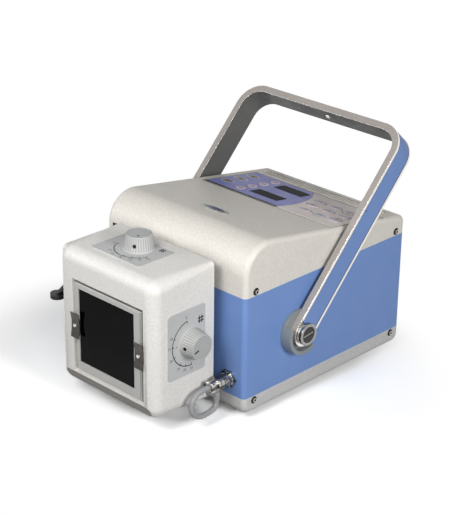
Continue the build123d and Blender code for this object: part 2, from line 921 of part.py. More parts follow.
def power_inlet():
    """Appliance inlet with three pins in its recess."""
    bezel_plane = rear_plane().offset(rear_plate_thick)
    bezel = extrude(bezel_plane * Pos(inlet_x, 0) * RectangleRounded(
        inlet_width + 2 * inlet_bezel, inlet_height + 2 * inlet_bezel, inlet_bezel_round
    ), inlet_bezel_thick)
    inner_plane = rear_plane().offset(rear_plate_thick - inlet_body_depth)
    body = extrude(inner_plane * Pos(inlet_x, 0) * Rectangle(inlet_width, inlet_height), inlet_body_depth)
    mouth_plane = bezel_plane.offset(inlet_bezel_thick - inlet_depth)
    recess = extrude(mouth_plane * Pos(inlet_x, 0) * Rectangle(
        inlet_width - 2 * inlet_wall, inlet_height - 2 * inlet_wall
    ), inlet_depth + cut_over)
    inlet = bezel + body - recess
    for across, up in ((-inlet_pin_pitch, -inlet_pin_drop), (0, inlet_pin_drop), (inlet_pin_pitch, -inlet_pin_drop)):
        inlet += extrude(mouth_plane * Pos(inlet_x + across, up) * Rectangle(inlet_pin_wide, inlet_pin_high), inlet_pin_length)
    return inlet


def power_switch():
    """Rocker switch in its bezel."""
    plane = rear_plane()
    body = extrude(plane * Rectangle(switch_width, switch_height), rear_plate_thick)
    bezel_plane = plane.offset(rear_plate_thick)
    bezel = extrude(bezel_plane * Rectangle(
        switch_width + 2 * switch_bezel, switch_height + 2 * switch_bezel
    ), switch_bezel_thick)
    half = switch_width / 2 - switch_bezel
    top = rear_plate_thick + switch_bezel_thick
    rocker_face = make_face(Polyline(
        (-half, top), (half, top), (half, top + switch_rocker_high), (0, top + switch_rocker_low),
        (-half, top + switch_rocker_low), close=True,
    ))
    side = Plane(origin=plane.origin, x_dir=(1, 0, 0), z_dir=(0, 0, 1))
    rocker = extrude(side * rocker_face, switch_height / 2 - switch_bezel, both=True)
    return body + bezel + rocker


def hand_switch_socket():
    """Round socket of the hand switch, with its bore."""
    plane = rear_plane()
    start = plane.offset(rear_plate_thick - hand_socket_length) * Pos(hand_socket_x, 0)
    barrel = start * Cylinder(
        hand_socket_radius, hand_socket_length + hand_socket_proud, align=(Align.CENTER, Align.CENTER, Align.MIN)
    )
    nut = extrude(plane.offset(rear_plate_thick) * Pos(hand_socket_x, 0) * RegularPolygon(
        hand_socket_nut_radius, 6
    ), hand_socket_nut_thick)
    mouth = plane.offset(rear_plate_thick + hand_socket_proud - hand_socket_bore_depth) * Pos(hand_socket_x, 0)
    socket_bore = mouth * Cylinder(
        hand_socket_bore, hand_socket_bore_depth + cut_over, align=(Align.CENTER, Align.CENTER, Align.MIN)
    )
    return barrel + nut - socket_bore


def rubber_feet():
    """Four round feet under the tray."""
    feet = []
    for side in (-1, 1):
        for y in (body_front + foot_inset_y, body_rear - foot_inset_y):
            foot = rod((side * (body_side - foot_inset_x), y, 0), (0, 0, 1), foot_radius, foot_height)
            feet.append(chamfer(foot.edges().sort_by(Axis.Z)[0], foot_edge_chamfer))
    return Compound(feet)


def stand_plate():
    """Plate under the tray with four threaded holes for a stand."""
    middle_y = (body_front + body_rear) / 2
    plane = Plane(origin=(0, middle_y, tray_floor - mount_plate_thick))
    plate = slab(plane, mount_plate_width, mount_plate_length, mount_plate_thick, mount_plate_round)
    for across in (-mount_hole_x / 2, mount_hole_x / 2):
        for along in (-mount_hole_y / 2, mount_hole_y / 2):
            plate -= rod((across, middle_y + along, 0), (0, 0, 1), mount_hole_radius, foot_height)
    return plate


# Write every piece to its own file

pieces = {
    "upper_cover": upper_cover,
    "middle_band": middle_band,
    "lower_tray": lower_tray,
    "rubber_feet": rubber_feet,
    "stand_plate": stand_plate,
    "tube_tank": tube_tank,
    "control_panel": control_panel,
    "display_windows": display_windows,
    "panel_keys": panel_keys,
    "indicator_lamps": indicator_lamps,
    "cover_badge": cover_badge,
    "collimator_housing": collimator_housing,
    "collimator_rear_plate": collimator_rear_plate,
    "collimator_neck": collimator_neck,
    "window_frame": window_frame,
    "window_glass": window_glass,
    "filter_clip_left": lambda: filter_clips()[0],
    "filter_clip_right": lambda: filter_clips()[1],
    "top_scale_plate": top_scale_plate,
    "side_scale_plate": side_scale_plate,
    "top_knob": lambda: knob_body(top_knob_plane()),
    "top_knob_cap": lambda: knob_cap(top_knob_plane()),
    "side_knob": lambda: knob_body(side_knob_plane()),
    "side_knob_cap": lambda: knob_cap(side_knob_plane()),
    "side_cover": side_cover,
    "thumb_lever": thumb_lever,
    "handle_frame": handle_frame,
    "handle_inlay": handle_inlay,
    "link_socket": link_socket,
    "link_plug": link_plug,
    "cable_boot": cable_boot,
    "link_cable": link_cable,
    "rear_connector_plate": rear_connector_plate,
    "power_inlet": power_inlet,
    "power_switch": power_switch,
    "hand_switch_socket": hand_switch_socket,
}
for name, side in (("left", -1), ("right", 1)):
    pieces[f"{name}_pivot_boss"] = lambda side=side: pivot_boss(side)
    pieces[f"{name}_pivot_bolt"] = lambda side=side: pivot_bolt(side)
    pieces[f"{name}_pivot_cap"] = lambda side=side: pivot_cap(side)

for node, make in pieces.items():
    shape = make()
    if isinstance(shape, list):
        shape = Compound(shape)
    export_step(shape, f"parts/{node}.step")
    print(node, round(shape.volume), len(shape.solids()))
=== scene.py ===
import math

import bmesh
import bpy
from mathutils import Matrix, Vector


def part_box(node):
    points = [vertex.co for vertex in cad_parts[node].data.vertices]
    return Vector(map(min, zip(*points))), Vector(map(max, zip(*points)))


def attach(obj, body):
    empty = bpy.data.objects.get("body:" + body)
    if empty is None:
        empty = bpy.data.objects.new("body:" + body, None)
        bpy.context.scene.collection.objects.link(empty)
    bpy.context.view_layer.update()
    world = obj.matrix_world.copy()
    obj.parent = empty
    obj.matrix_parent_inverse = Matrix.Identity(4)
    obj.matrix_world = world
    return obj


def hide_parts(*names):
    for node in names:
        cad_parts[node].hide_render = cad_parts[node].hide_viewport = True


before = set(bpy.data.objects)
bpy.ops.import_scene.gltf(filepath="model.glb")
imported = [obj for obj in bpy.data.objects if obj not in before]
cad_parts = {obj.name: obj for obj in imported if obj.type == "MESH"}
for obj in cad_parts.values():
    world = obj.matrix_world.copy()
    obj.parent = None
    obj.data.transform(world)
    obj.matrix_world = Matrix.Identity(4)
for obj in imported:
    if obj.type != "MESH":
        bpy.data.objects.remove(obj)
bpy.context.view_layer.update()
scene = bpy.context.scene
mm = 0.001
mergeDistance = 0.000002
sharpAngle = 38
print("frame loaded,", len(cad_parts), "nodes")


# Camera, at the place that the photo was taken from

cameraSettings = {
    "place": (1.132897, -1.163354, 0.858191),
    "right": (0.71540865, 0.69856776, 0.01391198),
    "up": (-0.29408027, 0.28298894, 0.9129261),
    "focalPixels": 1588.81,
    "imageHeight": 515,
    "sensor": 36.0,
}


def makeCamera(settings):
    data = bpy.data.cameras.new("photoCamera")
    camera = bpy.data.objects.new("photoCamera", data)
    scene.collection.objects.link(camera)
    right = Vector(settings["right"]).normalized()
    back = right.cross(Vector(settings["up"])).normalized()
    up = back.cross(right)
    turn = Matrix((right, up, back)).transposed().to_4x4()
    camera.matrix_world = Matrix.Translation(settings["place"]) @ turn
    data.sensor_width = settings["sensor"]
    data.lens = settings["focalPixels"] * settings["sensor"] / settings["imageHeight"]
    data.clip_start = 0.05
    data.clip_end = 40
    scene.camera = camera


makeCamera(cameraSettings)


# Materials

def addNode(tree, kind, inputs=None, **settings):
    node = tree.nodes.new(kind)
    for name, value in settings.items():
        setattr(node, name, value)
    for name, value in (inputs or {}).items():
        node.inputs[name].default_value = value
    return node


def linear(color):
    # A screen colour from 0 to 255, as the shader needs it
    parts = [part / 255 for part in color]
    return [part / 12.92 if part <= 0.04045 else ((part + 0.055) / 1.055) ** 2.4 for part in parts] + [1.0]


def newMaterial(name, color, roughness, metallic=0.0, specular=0.5, coat=0.0):
    material = bpy.data.materials.new(name)
    material.use_nodes = True
    shader = material.node_tree.nodes["Principled BSDF"]
    shader.inputs["Base Color"].default_value = linear(color)
    shader.inputs["Roughness"].default_value = roughness
    shader.inputs["Metallic"].default_value = metallic
    shader.inputs["Specular IOR Level"].default_value = specular
    shader.inputs["Coat Weight"].default_value = coat
    return material


def objectNoise(tree, scale, stretch=(1, 1, 1), detail=3.0):
    # Noise on Object coordinates, stretched along an axis where the finish has a direction
    place = addNode(tree, "ShaderNodeTexCoord")
    mapping = addNode(tree, "ShaderNodeMapping")
    mapping.inputs["Scale"].default_value = stretch
    noise = addNode(tree, "ShaderNodeTexNoise", {"Scale": scale, "Detail": detail})
    tree.links.new(place.outputs["Object"], mapping.inputs["Vector"])
    tree.links.new(mapping.outputs["Vector"], noise.inputs["Vector"])
    return noise


def varyColor(material, color, otherColor, scale, stretch=(1, 1, 1), low=0.35, high=0.65):
    tree = material.node_tree
    shader = tree.nodes["Principled BSDF"]
    noise = objectNoise(tree, scale, stretch)
    ramp = addNode(tree, "ShaderNodeValToRGB")
    ramp.color_ramp.elements[0].position = low
    ramp.color_ramp.elements[1].position = high
    ramp.color_ramp.elements[0].color = linear(color)
    ramp.color_ramp.elements[1].color = linear(otherColor)
    tree.links.new(noise.outputs["Fac"], ramp.inputs["Fac"])
    tree.links.new(ramp.outputs["Color"], shader.inputs["Base Color"])


def varyRoughness(material, low, high, scale, stretch=(1, 1, 1)):
    tree = material.node_tree
    noise = objectNoise(tree, scale, stretch)
    ends = {"From Min": 0.3, "From Max": 0.7, "To Min": low, "To Max": high}
    spread = addNode(tree, "ShaderNodeMapRange", ends)
    tree.links.new(noise.outputs["Fac"], spread.inputs["Value"])
    tree.links.new(spread.outputs["Result"], tree.nodes["Principled BSDF"].inputs["Roughness"])


def addBump(material, scale, depth, stretch=(1, 1, 1), strength=0.5):
    tree = material.node_tree
    noise = objectNoise(tree, scale, stretch)
    bump = addNode(tree, "ShaderNodeBump", {"Strength": strength, "Distance": depth})
    tree.links.new(noise.outputs["Fac"], bump.inputs["Height"])
    tree.links.new(bump.outputs["Normal"], tree.nodes["Principled BSDF"].inputs["Normal"])


def enamel(name, color, shade, roughness=0.42, grain=900, depth=0.00004, mottle=14):
    # Sprayed or moulded skin with a fine orange peel and a slight drift of tone
    material = newMaterial(name, color, roughness)
    varyColor(material, color, shade, mottle)
    varyRoughness(material, roughness - 0.06, roughness + 0.08, 60)
    addBump(material, grain, depth)
    return material


def metal(name, color, shade, roughness, stretch=(1, 1, 1), scale=300, depth=0.00002):
    # Bare metal, with fine lines along the axis whose stretch is least
    material = newMaterial(name, color, roughness, metallic=1.0)
    varyColor(material, color, shade, scale, stretch)
    varyRoughness(material, roughness * 0.75, roughness * 1.3, scale * 0.6, stretch)
    addBump(material, scale * 2, depth, stretch, 0.3)
    return material


finish = {
    "coverWhite": enamel("coverWhite", (234, 230, 222), (224, 219, 211), 0.45, 420, 0.0003, 420),
    "bandBlue": enamel("bandBlue", (116, 149, 209), (112, 145, 204), 0.45, 1200, 0.00003),
    "trayGrey": enamel("trayGrey", (208, 208, 206), (197, 197, 195), 0.5, 420, 0.0003, 420),
    "housingWhite": enamel("housingWhite", (235, 233, 229), (226, 223, 219), 0.4, 420, 0.0003, 420),
    "frameGrey": enamel("frameGrey", (191, 191, 188), (185, 185, 182), 0.35, 1600, 0.00002),
    "windowDark": newMaterial("windowDark", (5, 5, 5), 0.1, specular=0.04),
    "clipBronze": enamel("clipBronze", (50, 45, 36), (34, 30, 24), 0.3, 900, 0.00001, 260),
    "plateGrey": enamel("plateGrey", (193, 194, 194), (188, 189, 189), 0.5, 2000, 0.00001),
    "knobGrey": enamel("knobGrey", (193, 194, 192), (187, 188, 186), 0.5, 1600, 0.00002),
    "knobTop": enamel("knobTop", (176, 178, 178), (170, 172, 172), 0.45, 1600, 0.00002),
    "leverBlack": enamel("leverBlack", (18, 18, 17), (12, 12, 12), 0.5, 1200, 0.00002),
    "handleMetal": enamel("handleMetal", (174, 167, 162), (166, 159, 154), 0.4, 1500, 0.00002),
    # Darker and brighter copies of the handle's finish: painted shade inside the loop, painted highlight on
    # the rims
    "handleInner": enamel("handleInner", (92, 92, 90), (86, 86, 84), 0.55, 1500, 0.00002),
    "handleRim": metal("handleRim", (240, 238, 234), (232, 230, 226), 0.22, (1, 1, 1), 1500, 0.000002),
    "inlayBlue": enamel("inlayBlue", (116, 147, 204), (112, 143, 200), 0.5, 1600, 0.00002),
    "bossGrey": enamel("bossGrey", (140, 146, 148), (134, 140, 142), 0.35, 1500, 0.000004),
    "brightMetal": metal("brightMetal", (206, 203, 199), (198, 195, 191), 0.12, (1, 1, 1), 900, 0.000002),
    "boltMetal": metal("boltMetal", (168, 166, 163), (150, 148, 145), 0.22, (1, 1, 1), 900, 0.000002),
    # Broad dark and bright bands along the plug: a painted reflection
    "plugMetal": metal("plugMetal", (74, 71, 68), (214, 210, 205), 0.16, (1, 0.12, 1), 260, 0.000002),
    "plateMetal": metal("plateMetal", (186, 186, 186), (176, 176, 176), 0.4, (0.2, 1, 1), 900, 0.000005),
    "inlayEdge": newMaterial("inlayEdge", (34, 33, 36), 0.5),
    "capBlack": enamel("capBlack", (20, 20, 21), (14, 14, 15), 0.5, 1600, 0.00002),
    "rubberBlack": enamel("rubberBlack", (34, 34, 34), (26, 26, 26), 0.7, 1400, 0.00004),
    "cableGrey": enamel("cableGrey", (158, 159, 160), (146, 147, 148), 0.45, 700, 0.00006),
    "panelPale": enamel("panelPale", (242, 233, 228), (237, 228, 223), 0.45, 2400, 0.00001),
    "panelBlue": enamel("panelBlue", (134, 138, 206), (128, 132, 200), 0.45, 2400, 0.00001),
    "panelBlack": newMaterial("panelBlack", (12, 12, 13), 0.5, specular=0.1),
    "keyPale": enamel("keyPale", (206, 192, 206), (198, 184, 200), 0.42, 2400, 0.00001),
    "keyShade": enamel("keyShade", (88, 76, 98), (80, 68, 90), 0.45, 2400, 0.00001),
    "keyGreen": enamel("keyGreen", (168, 192, 198), (160, 184, 190), 0.42, 2400, 0.00001),
    "displayBlack": newMaterial("displayBlack", (8, 8, 9), 0.5, specular=0.04),
    "badgeBlue": enamel("badgeBlue", (30, 42, 110), (24, 34, 96), 0.25, 2400, 0.00001),
    "badgeSilver": metal("badgeSilver", (178, 184, 178), (160, 166, 160), 0.3),
    # Darker copy of the housing's white: painted shade for its slanted lower face
    "housingShade": enamel("housingShade", (138, 134, 126), (128, 124, 116), 0.6, 420, 0.0002, 420),
    "slotPaintedHighlight": enamel("slotPaintedHighlight", (206, 204, 198), (196, 194, 188), 0.35, 900, 0.00001),
    "windowPaintedShadowGrey": enamel("windowPaintedShadowGrey", (74, 72, 68), (66, 64, 60), 0.6, 1600, 0.00001),
    "paintedHighlightWhite": enamel("paintedHighlightWhite", (252, 250, 244), (246, 243, 236), 0.4, 1600, 0.00001),
    "knobGroovePaintedShade": enamel("knobGroovePaintedShade", (164, 165, 164), (156, 157, 156), 0.55, 1600, 0.00001),
    "ribLand": enamel("ribLand", (122, 115, 104), (114, 107, 96), 0.55, 1600, 0.00002),
    "inkDark": newMaterial("inkDark", (24, 24, 26), 0.6, specular=0.2),
    "lampAmber": enamel("lampAmber", (120, 96, 70), (104, 82, 60), 0.3, 2400, 0.00001),
    "screwDark": metal("screwDark", (52, 51, 49), (34, 33, 32), 0.2, (1, 1, 1), 400, 0.00001),
    "grooveFloorPaintedShade": enamel("grooveFloorPaintedShade", (112, 105, 95), (104, 97, 88), 0.6),
    "tankGrey": enamel("tankGrey", (150, 150, 150), (140, 140, 140), 0.6),
}
# Faint clouds in the window's glass, a painted reflection, and a fine grain on the inks
varyColor(finish["windowDark"], (3, 3, 3), (16, 16, 15), scale=16, stretch=(1, 1, 1.6), low=0.5, high=0.78)
inkGrain = {"inkDark": 2600, "panelBlack": 2600, "displayBlack": 2600, "inlayEdge": 1800}
for name, grain in inkGrain.items():
    varyRoughness(finish[name], 0.4, 0.6, grain)
print("materials made,", len(finish))


# Helpers for pieces

def finishPiece(
    bm, pieceName, materialNames, body="machine", replaces=(), sharpDegrees=sharpAngle
):
    bmesh.ops.remove_doubles(bm, verts=bm.verts, dist=mergeDistance)
    bmesh.ops.recalc_face_normals(bm, faces=bm.faces)
    for face in bm.faces:
        face.smooth = True
    mesh = bpy.data.meshes.new(pieceName)
    bm.to_mesh(mesh)
    bm.free()
    mesh.set_sharp_from_angle(angle=math.radians(sharpDegrees))
    for materialName in materialNames.split():
        mesh.materials.append(finish[materialName])
    piece = bpy.data.objects.new(pieceName, mesh)
    scene.collection.objects.link(piece)
    if replaces:
        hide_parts(*replaces)
    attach(piece, body)
    return piece


def mergedCopy(nodeName):
    # A CAD node's mesh, with its loose triangles joined and its flat faces made whole
    bm = bmesh.new()
    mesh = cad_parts[nodeName].data.copy()
    if "custom_normal" in mesh.attributes:
        mesh.attributes.remove(mesh.attributes["custom_normal"])
    bm.from_mesh(mesh)
    bpy.data.meshes.remove(mesh)
    bmesh.ops.remove_doubles(bm, verts=bm.verts, dist=mergeDistance)
    bmesh.ops.dissolve_limit(bm, angle_limit=math.radians(0.6), verts=bm.verts, edges=bm.edges)
    return bm


def sharpEdges(bm):
    found = []
    for edge in bm.edges:
        if len(edge.link_faces) == 2 and edge.calc_face_angle() > math.radians(sharpAngle):
            found.append(edge)
    return found


def roundEdges(bm, edges, width, segments=2):
    return bmesh.ops.bevel(
        bm, geom=edges, offset=width * mm, offset_type="OFFSET", segments=segments,
        profile=0.5, affect="EDGES", clamp_overlap=True, material=-1,
    )["faces"]


def weightNormals(piece):
    modifier = piece.modifiers.new("evenShade", "WEIGHTED_NORMAL")
    modifier.keep_sharp = True
    modifier.weight = 60


# Finish, slot in the record and edge round of each node

nodeFinish = {
    "upper_cover": ("coverWhite", "cover_white", 0.0),
    "middle_band": ("bandBlue", "band_blue", 0.0),
    "lower_tray": ("trayGrey", "tray_grey", 0.0),
    "rubber_feet": ("rubberBlack", "rubber_black", 0.0),
    "stand_plate": ("plateMetal", "steel", 0.3),
    "tube_tank": ("tankGrey", "tank_metal", 0.0),
    "control_panel": ("panelPale", "panel_film", 0.0),
    "display_windows": ("displayBlack", "display_dark", 0.0),
    "panel_keys": ("keyPale", "key_film", 0.0),
    "indicator_lamps": ("lampAmber", "lamp_film", 0.0),
    "cover_badge": ("badgeSilver", "badge_blue", 0.0),
    "collimator_housing": ("housingWhite housingShade", "housing_white", 0.0),
    "collimator_rear_plate": ("plateMetal", "plate_metal", 0.0),
    "collimator_neck": ("plateMetal", "neck_metal", 0.4),
    "window_frame": ("frameGrey", "frame_grey", 0.35),
    "window_glass": ("windowDark", "window_dark", 0.0),
    "filter_clip_left": ("clipBronze", "clip_bronze", 0.0),
    "filter_clip_right": ("clipBronze", "clip_bronze", 0.0),
    "top_scale_plate": ("plateGrey", "plate_grey", 0.0),
    "side_scale_plate": ("plateGrey", "plate_grey", 0.0),
    "top_knob": ("knobGrey", "knob_grey", 0.0),
    "side_knob": ("knobGrey", "knob_grey", 0.0),
    "top_knob_cap": ("knobTop", "knob_cap_grey", 0.3),
    "side_knob_cap": ("knobTop", "knob_cap_grey", 0.3),
    "side_cover": ("housingWhite", "housing_white", 0.0),
    "thumb_lever": ("leverBlack", "lever_black", 0.0),
    "link_socket": ("plugMetal", "bright_metal", 0.3),
    "link_plug": ("plugMetal", "bright_metal", 0.3),
    "cable_boot": ("cableGrey", "cable_grey", 0.0),
    "rear_connector_plate": ("plateMetal", "plate_metal", 0.3),
    "power_inlet": ("capBlack", "connector_black", 0.3),
    "power_switch": ("capBlack", "connector_black", 0.4),
    "hand_switch_socket": ("brightMetal", "bright_metal", 0.3),
}
for side in ("left", "right"):
    nodeFinish[side + "_pivot_boss"] = ("bossGrey", "boss_grey", 0.4)
    nodeFinish[side + "_pivot_bolt"] = ("boltMetal", "bright_metal", 0.7)
    nodeFinish[side + "_pivot_cap"] = ("capBlack", "cap_black", 0.2)


def skinName(nodeName):
    parts = nodeName.split("_")
    return parts[0] + "".join(part.capitalize() for part in parts[1:]) + "Skin"


lowerEdgeSettings = {"nodeName": "collimator_housing", "rise": 15.4, "tilt": 26}


def cutLowerEdge(bm, settings):
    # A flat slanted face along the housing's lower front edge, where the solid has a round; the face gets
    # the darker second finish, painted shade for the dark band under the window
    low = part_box(settings["nodeName"])[0]
    lean = math.radians(settings["tilt"])
    cut = bmesh.ops.bisect_plane(
        bm, geom=bm.verts[:] + bm.edges[:] + bm.faces[:], dist=mergeDistance / 2, clear_outer=True,
        plane_co=(0, low.y, low.z + settings["rise"] * mm), plane_no=(0, -math.cos(lean), -math.sin(lean)),
    )
    rim = [item for item in cut["geom_cut"] if isinstance(item, bmesh.types.BMEdge)]
    for face in bmesh.ops.edgeloop_fill(bm, edges=rim)["faces"]:
        face.material_index = 1


def dressNode(nodeName):
    materialName, slotName, edgeWidth = nodeFinish[nodeName]
    bm = mergedCopy(nodeName)
    if nodeName == lowerEdgeSettings["nodeName"]:
        cutLowerEdge(bm, lowerEdgeSettings)
    if edgeWidth > 0:
        roundEdges(bm, sharpEdges(bm), edgeWidth)
    body = "handle" if nodeName.startswith("handle_") else "machine"
    piece = finishPiece(bm, skinName(nodeName), materialName, body, [nodeName])
    weightNormals(piece)
    return piece


skins = {name: dressNode(name) for name in nodeFinish}
print("nodes dressed,", len(skins))


# Link cable

cableSettings = {
    "radius": 3.1,
    # X, Y from the body's front and Z above the tray's floor, as in the part's source
    "route": [
        (85.5, -32.0, 38.2), (85.5, -40.2, 38.2), (85.7, -49.2, 36.6), (86.1, -56.6, 30.2),
        (86.4, -57.2, 20.4), (86.7, -52.0, 12.4), (86.9, -44.2, 8.6), (86.7, -36.6, 8.4),
        (86.3, -29.8, 8.7), (86.0, -24.5, 9.5), (85.7, -21.0, 11.5), (85.5, -19.0, 15.0),
        (85.5, -19.0, 18.9),
    ],
    "length": 0.0835,
}
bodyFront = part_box("middle_band")[0].y
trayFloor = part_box("lower_tray")[0].z


def makeCable(settings):
    curve = bpy.data.curves.new("linkCableCord", "CURVE")
    curve.dimensions = "3D"
    spline = curve.splines.new("NURBS")
    spline.points.add(len(settings["route"]) - 1)
    for point, (x, y, z) in zip(spline.points, reversed(settings["route"])):
        point.co = (x * mm, bodyFront + y * mm, trayFloor + z * mm, 1)
    spline.order_u = 3
    spline.use_endpoint_u = True
    spline.resolution_u = 8
    curve.bevel_depth = settings["radius"] * mm
    curve.bevel_resolution = 6
    curve.use_fill_caps = True
    curve.materials.append(finish["cableGrey"])
    cable = bpy.data.objects.new("linkCableCord", curve)
    scene.collection.objects.link(cable)
    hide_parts("link_cable")
    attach(cable, "machine")
    x, y, z = settings["route"][-1]


makeCable(cableSettings)
print("cable laid")


# Prints and small fittings

def flatMesh(data):
    # Text or a flat outline as a mesh in its own plane
    holder = bpy.data.objects.new("flatWork", data)
    mesh = bpy.data.meshes.new_from_object(holder)
    bpy.data.objects.remove(holder)
    bpy.data.curves.remove(data)
    return mesh


def words(body, size):
    data = bpy.data.curves.new("wordsWork", "FONT")
    data.body = body
    data.size = size * mm
    data.align_x = "CENTER"
    data.align_y = "CENTER"
    data.resolution_u = 3
    return flatMesh(data)


def outline(*loops):
    # A filled shape from closed loops of points, the later ones being its holes
    data = bpy.data.curves.new("outlineWork", "CURVE")
    data.dimensions = "2D"
    data.fill_mode = "BOTH"
    for loop in loops:
        spline = data.splines.new("POLY")
        spline.points.add(len(loop) - 1)
        for point, (x, y) in zip(spline.points, loop):
            point.co = (x * mm, y * mm, 0, 1)
        spline.use_cyclic_u = True
    return flatMesh(data)


def arc(radius, start, end, steps=24, centre=(0, 0), squash=1.0):
    points = []
    for index in range(steps + 1):
        angle = math.radians(start + (end - start) * index / steps)
        points.append((centre[0] + radius * math.cos(angle), centre[1] + radius * squash * math.sin(angle)))
    return points


def bar(start, end, width):
    # A straight stroke between two points
    run = Vector(end) - Vector(start)
    across = Vector((-run.y, run.x)).normalized() * width / 2
    corners = [Vector(start) + across, Vector(end) + across, Vector(end) - across, Vector(start) - across]
    return outline([tuple(corner) for corner in corners])


def levelBar(start, end, y, width):
    return bar((start, y), (end, y), width)


def arcStroke(radius, start, end, width, steps=32, centre=(0, 0)):
    outer = arc(radius + width / 2, start, end, steps, centre)
    inner = arc(radius - width / 2, start, end, steps, centre)
    return outline(outer + inner[::-1])


def ringStroke(width, height, stroke, centre=(0, 0), steps=28):
    # An oval line, its outer size given
    loops = []
    for shrink in (0, stroke):
        ratio = (height - 2 * shrink) / (width - 2 * shrink)
        loops.append(arc(width / 2 - shrink, 0, 360 - 360 / steps, steps - 1, centre, ratio))
    return outline(*loops)


def lens(length, width, centre=(0, 0), steps=12):
    # Two arcs that meet in points at both ends
    radius = (length ** 2 / 4 + width ** 2 / 4) / width
    half = math.degrees(math.asin(length / 2 / radius))
    x, y = centre
    lower = arc(radius, 270 - half, 270 + half, steps, (x, y + radius - width / 2))
    upper = arc(radius, 90 - half, 90 + half, steps, (x, y - radius + width / 2))
    return lower[:-1] + upper[:-1]


def turned(profile, steps=32):
    # A round shape about Z, from pairs of radius and height
    bm = bmesh.new()
    points = [bm.verts.new((radius * mm, 0, height * mm)) for radius, height in profile]
    edges = [bm.edges.new(pair) for pair in zip(points, points[1:])]
    bmesh.ops.spin(
        bm, geom=points + edges, cent=(0, 0, 0), axis=(0, 0, 1), dvec=(0, 0, 0),
        angle=math.tau, steps=steps, use_merge=True, use_duplicate=False,
    )
    bmesh.ops.remove_doubles(bm, verts=bm.verts, dist=mergeDistance)
    mesh = bpy.data.meshes.new("turnedWork")
    bm.to_mesh(mesh)
    bm.free()
    return mesh


def gather(placed):
    # One bmesh from pairs of a mesh and its place
    bm = bmesh.new()
    for mesh, matrix in placed:
        mesh.transform(matrix)
        bm.from_mesh(mesh)
        bpy.data.meshes.remove(mesh)
    return bm


def placedPiece(pieceName, materialNames, placed, body="machine", sharpDegrees=sharpAngle):
    finishPiece(gather(placed), pieceName, materialNames, body, sharpDegrees=sharpDegrees)


def axes(origin, across, up):
    across = Vector(across).normalized()
    up = Vector(up).normalized()
    turn = Matrix((across, up, across.cross(up))).transposed().to_4x4()
    return Matrix.Translation(origin) @ turn


def shift(x, y, z=0.0):
    return Matrix.Translation((x * mm, y * mm, z * mm))


def largestFace(nodeName, direction, alike=0.98):
    # Middle and normal of the widest face that looks along a direction
    bm = mergedCopy(nodeName)
    direction = Vector(direction).normalized()
    fitting = [face for face in bm.faces if face.normal.dot(direction) > alike]
    face = max(fitting, key=lambda face: face.calc_area())
    found = face.calc_center_bounds(), face.normal.copy()
    bm.free()
    return found


def machinePoint(x, y, z):
    # X, Y from the body's front and Z above the tray's floor, in millimetres
    return Vector((x * mm, bodyFront + y * mm, trayFloor + z * mm))


inkLift = 0.04  # height of a print above its face, in millimetres


# Painted highlight for the lit walls of the pocket that the top plate lies in, along its left and rear
# edges

pocketSettings = {"width": 0.9, "cornerRound": 4.0}


def pocketHighlights(settings):
    low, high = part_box("top_scale_plate")
    width, corner = settings["width"], settings["cornerRound"]
    left, right = low.x / mm, high.x / mm
    front, rear = (low.y - bodyFront) / mm, (high.y - bodyFront) / mm
    place = Matrix.Translation((0, bodyFront, high.z + inkLift * mm))
    column = left + width / 2
    parts = [
        (bar((column, front + corner), (column, rear - corner), width), place),
        (levelBar(left + corner, right - corner, rear - width / 2, width), place),
    ]
    placedPiece("topPlateHighlights", "paintedHighlightWhite", parts)


pocketHighlights(pocketSettings)


# Scales round the two knobs

dialSettings = {
    "arcRadius": 26.6,
    "arcWidth": 1.05,
    "tickLength": 2.4,
    "tickPast": 0.4,
    "tickWidth": 1.0,
    "numberRadius": 31.0,
    "numberSize": 4.6,
    "numbers": ("5", "10", "15", "20", "25", "30", "35"),
    "innerNumber": "0",
    "innerRadius": 20.2,
    "innerSize": 3.4,
    "iconStroke": 1.35,
    "iconGap": 0.2,
    "top": {
        "centre": (-4.3, -46.2),
        "angles": (-163, -126, -107, -82, -60, -42, -25),
        "icon": (22.4, 12.6),
        "iconSize": (7.5, 7.0),
        "inner": -118,
    },
    "side": {
        "centre": (-47.5, 94.6),
        "angles": (102, 155, 176, 204, 235, 253, 272),
        "icon": (14.3, 22.4),
        "iconSize": (8.6, 8.6),
        "inner": 178,
    },
}


def polar(radius, degrees):
    return radius * math.cos(math.radians(degrees)), radius * math.sin(math.radians(degrees))


def dialPrint(pieceName, place, dial):
    common = dialSettings
    angles = dial["angles"]
    lifted = place @ shift(0, 0, inkLift)
    parts = [(arcStroke(common["arcRadius"], angles[0], angles[-1], common["arcWidth"], 48), lifted)]
    for degrees, number in zip(angles, common["numbers"]):
        inner = polar(common["arcRadius"] - common["tickLength"], degrees)
        outer = polar(common["arcRadius"] + common["tickPast"], degrees)
        parts.append((bar(inner, outer, common["tickWidth"]), lifted))
        x, y = polar(common["numberRadius"], degrees)
        parts.append((words(number, common["numberSize"]), lifted @ shift(x, y)))
    x, y = polar(common["innerRadius"], dial["inner"])
    parts.append((words(common["innerNumber"], common["innerSize"]), lifted @ shift(x, y)))
    # Two upright and two level strokes that cross
    x, y = dial["icon"]
    wide, high = dial["iconSize"]
    for offset in (-common["iconGap"], common["iconGap"]):
        column = x + offset * wide
        upright = bar((column, y - high / 2), (column, y + high / 2), common["iconStroke"])
        level = levelBar(x - wide / 2, x + wide / 2, y + offset * high, common["iconStroke"])
        parts += [(upright, lifted), (level, lifted)]
    placedPiece(pieceName, "inkDark", parts)


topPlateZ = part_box("top_scale_plate")[1].z
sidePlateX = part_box("side_scale_plate")[1].x
topX, topY = dialSettings["top"]["centre"]
sideY, sideZ = dialSettings["side"]["centre"]
topKnobPlace = axes((topX * mm, bodyFront + topY * mm, topPlateZ), (1, 0, 0), (0, 1, 0))
sideKnobPlace = axes((sidePlateX, bodyFront + sideY * mm, trayFloor + sideZ * mm), (0, 1, 0), (0, 0, 1))
dialPrint("topDialPrint", topKnobPlace, dialSettings["top"])
dialPrint("sideDialPrint", sideKnobPlace, dialSettings["side"])


# Marks on the knobs

